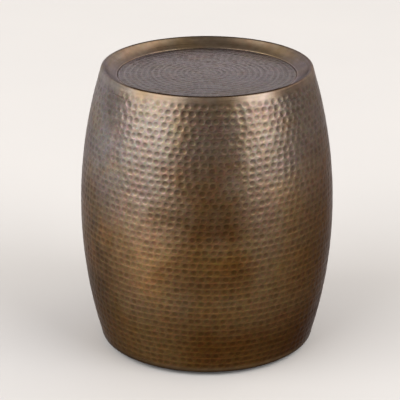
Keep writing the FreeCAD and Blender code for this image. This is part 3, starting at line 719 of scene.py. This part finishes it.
def grey_felt():
    """Pressed felt: tangled fibres with a soft sheen."""
    material, nodes, shader, place = new_material("grey_felt")
    tangle = nodes.noise(place, 1400.0, 5.0, 0.75)
    patch = nodes.noise(place, 300.0, 3.0, 0.6)
    tone = nodes.math("MULTIPLY_ADD", tangle, 0.6, nodes.math("MULTIPLY", patch, 0.4))
    dark, light = (0.06, 0.06, 0.062, 1), (0.2, 0.195, 0.19, 1)
    nodes.feed(shader.inputs["Base Color"], nodes.blend(tone, dark, light))
    shader.inputs["Roughness"].default_value = 0.95
    shader.inputs["Sheen Weight"].default_value = 0.4
    nodes.feed(shader.inputs["Normal"], bump(nodes, nodes.math("MULTIPLY", tangle, 0.0003)))
    return material


def dress(node, material):
    """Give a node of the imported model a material."""
    piece = NODES[node]
    if not piece.material_slots:
        piece.data.materials.append(material)
    for slot in piece.material_slots:
        slot.material = material


# The finish of the two sheets. The grade runs from low to high along an axis. It is a painted
# reflection: on the wall grey at the top and brown towards the floor, on the tray lighter behind.
WALL_LOOK = {
    "grade": ((0, 0, 1), 0.2, 0.46),
    "high": (0.206, 0.171, 0.148, 1),
    "low": (0.13, 0.085, 0.045, 1),
    "painted_dark_band": (0.56, 0.4, 0.21, 1),
    "burnished": (0.22, 0.172, 0.13, 1),
    "painted_highlight_left": (0.4, 0.37, 0.345, 1),
    "inner_back": (0.185, 0.144, 0.104, 1),
    "inner_side": (0.205, 0.175, 0.178, 1),
    "edge_tint": (0.54, 0.52, 0.53, 1),
    "ridges": (0.9, 0.15),
    "satin": 0.0,
    "relief": 0.6,
}
TRAY_EDGE = (0.1, 0.08, 0.073, 1)
TRAY_LOOK = {
    "grade": ((0, 1, 0), -0.1, 0.25),
    "high": (0.162, 0.128, 0.117, 1),
    "low": (0.084, 0.068, 0.062, 1),
    "painted_dark_band": (1.0, 1.0, 1.0, 1),
    "burnished": TRAY_EDGE,
    "painted_highlight_left": TRAY_EDGE,
    "inner_back": TRAY_EDGE,
    "inner_side": TRAY_EDGE,
    "edge_tint": (0.76, 0.74, 0.75, 1),
    "ridges": (0.6, 0.6),
    "satin": -0.065,
    "relief": 1.25,
}


def make_table():
    """Put the hammered barrel and tray in place of their solids, and dress the other pieces."""
    wall_brass = hammered_brass("antique_brass", wall_marks, WALL_MARK_DEPTH, WALL_LOOK)
    tray_brass = hammered_brass("tray_brass", floor_marks, FLOOR_MARK_DEPTH, TRAY_LOOK)

    tree = hammered_sheet_tree("hammered_wall", wall_marks, wall_brass)
    mesh = section_mesh("shell_section", shell_section(), True)
    shell = make_from_tree("hammered_barrel", mesh, tree, {
        "Steps Around": WALL_STEPS_AROUND,
        "Mark Depth": WALL_MARK_DEPTH,
        "Unevenness": WALL_UNEVENNESS,
    })
    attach(shell, "root")
    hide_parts("barrel_shell")

    tree = hammered_sheet_tree("hammered_disc", floor_marks, tray_brass)
    mesh = section_mesh("disc_section", disc_section(), False)
    disc = make_from_tree("hammered_tray", mesh, tree, {
        "Steps Around": FLOOR_STEPS_AROUND,
        "Mark Depth": FLOOR_MARK_DEPTH,
        "Unevenness": FLOOR_UNEVENNESS,
    })
    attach(disc, "root")
    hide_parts("hammered_top")

    black_steel = plain_metal(
        "blackened_steel", colour=(0.03, 0.028, 0.026, 1), stain=(0.075, 0.062, 0.05, 1),
        metallic=0.7, roughness=0.46, grain=500.0)
    bare_steel = plain_metal(
        "mild_steel", colour=(0.42, 0.41, 0.39, 1), stain=(0.25, 0.22, 0.19, 1),
        metallic=1.0, roughness=0.36, grain=700.0)
    zinc = plain_metal(
        "zinc_plate", colour=(0.6, 0.6, 0.57, 1), stain=(0.5, 0.47, 0.36, 1),
        metallic=1.0, roughness=0.28, grain=900.0)
    rubber, felt = black_rubber(), grey_felt()
    for node in ("base_ring", "neck_ring", "cross_bar_lower", "cross_bar_upper"):
        dress(node, black_steel)
    for node in ("hem_wire", "bar_rivets"):
        dress(node, bare_steel)
    for node in ("foot_screws", "foot_washers", "foot_nuts"):
        dress(node, zinc)
    for node in ("foot_front_left", "foot_front_right", "foot_back_left", "foot_back_right"):
        dress(node, rubber)
    dress("felt_pads", felt)


# The studio: a wide pale floor, two large windows and the room that the brass mirrors.
FLOOR_REACH = 30.0
FLOOR_TONES = (0.61, 0.615, 0.635, 1), (0.64, 0.64, 0.655, 1)
ROOM_LEFT = (0.46, 0.42, 0.38, 1)
ROOM_RIGHT = (0.31, 0.275, 0.245, 1)
ROOM_BACK = (1.35, 1.32, 1.34, 1)
ROOM_CEILING = (0.34, 0.3, 0.26, 1)
HIGH_WINDOWS = (2.4, 2.2, 1.9, 1)
CAMERA_PLACE = (-0.0111, -2.6, 1.241)
CAMERA_PITCH = math.radians(21.26)
CAMERA_LENS = 155.6


def make_floor():
    mesh = bpy.data.meshes.new("floor")
    corners = [
        (across * FLOOR_REACH, along * FLOOR_REACH, 0)
        for across, along in ((-1, -1), (1, -1), (1, 1), (-1, 1))]
    mesh.from_pydata(corners, [], [(0, 1, 2, 3)])
    floor = bpy.data.objects.new("floor", mesh)
    bpy.context.scene.collection.objects.link(floor)
    material, nodes, shader, place = new_material("pale_floor")
    tone = nodes.noise(place, 3.0, 3.0)
    nodes.feed(shader.inputs["Base Color"], nodes.blend(tone, *FLOOR_TONES))
    shader.inputs["Roughness"].default_value = 0.8
    shader.inputs["Specular IOR Level"].default_value = 0.2
    mesh.materials.append(material)


def soft_box(name, bearing, elevation, distance, size, power, colour):
    """An area lamp that faces the table's middle.

    The bearing is seen from above, from -Y towards +X.
    """
    lamp = bpy.data.lights.new(name, "AREA")
    lamp.shape = "RECTANGLE"
    lamp.size, lamp.size_y = size
    lamp.energy = power
    lamp.color = colour
    holder = bpy.data.objects.new(name, lamp)
    turn, rise = math.radians(bearing), math.radians(elevation)
    holder.location = (
        distance * math.cos(rise) * math.sin(turn),
        -distance * math.cos(rise) * math.cos(turn),
        distance * math.sin(rise) + BELLY_HEIGHT,
    )
    holder.rotation_euler = (math.pi / 2 - rise, 0, turn)
    bpy.context.scene.collection.objects.link(holder)


def make_light():
    """Two windows in front, left and right, and the room about them."""
    soft_box("left_window", -57, 24, 14.5, (15.4, 18.9), 2480, (1.0, 0.985, 0.96))
    soft_box("right_window", 56.5, 23, 15.5, (10.4, 18.4), 1880, (1.0, 0.985, 0.975))
    world = bpy.data.worlds.new("studio")
    bpy.context.scene.world = world
    world.use_nodes = True
    world.node_tree.nodes.clear()
    nodes = Nodes(world.node_tree)
    direction = nodes.add("ShaderNodeTexCoord").outputs["Generated"]
    across, back, up = nodes.split(direction)
    colour = nodes.blend(nodes.ramp(across, -0.9, 0.7), ROOM_LEFT, ROOM_RIGHT)
    behind = nodes.math(
        "MULTIPLY", nodes.ramp(back, 0.3, 0.95), nodes.math("MULTIPLY_ADD", across, 0.5, 0.87))
    colour = nodes.blend(behind, colour, ROOM_BACK)
    colour = nodes.blend(nodes.ramp(up, 0.6, 0.95), colour, ROOM_CEILING)
    high = nodes.product(
        nodes.ramp(nodes.math("ABSOLUTE", across), 0.32, 0.58), nodes.ramp(up, 0.3, 0.7),
        nodes.math("MULTIPLY_ADD", across, 0.5, 0.8))
    colour = nodes.blend(high, colour, HIGH_WINDOWS)
    sky = nodes.output("ShaderNodeBackground", {"Color": colour, "Strength": 1.0})
    nodes.add("ShaderNodeOutputWorld", {"Surface": sky})


def make_camera():
    camera = bpy.data.cameras.new("camera")
    camera.sensor_width = 36.0
    camera.lens = CAMERA_LENS
    camera.clip_end = 50.0
    holder = bpy.data.objects.new("camera", camera)
    holder.location = CAMERA_PLACE
    holder.rotation_euler = (math.pi / 2 - CAMERA_PITCH, 0, 0)
    bpy.context.scene.collection.objects.link(holder)
    bpy.context.scene.camera = holder


make_table()
make_floor()
make_light()
make_camera()
bpy.context.scene.view_settings.view_transform = "Standard"
bpy.context.view_layer.update()
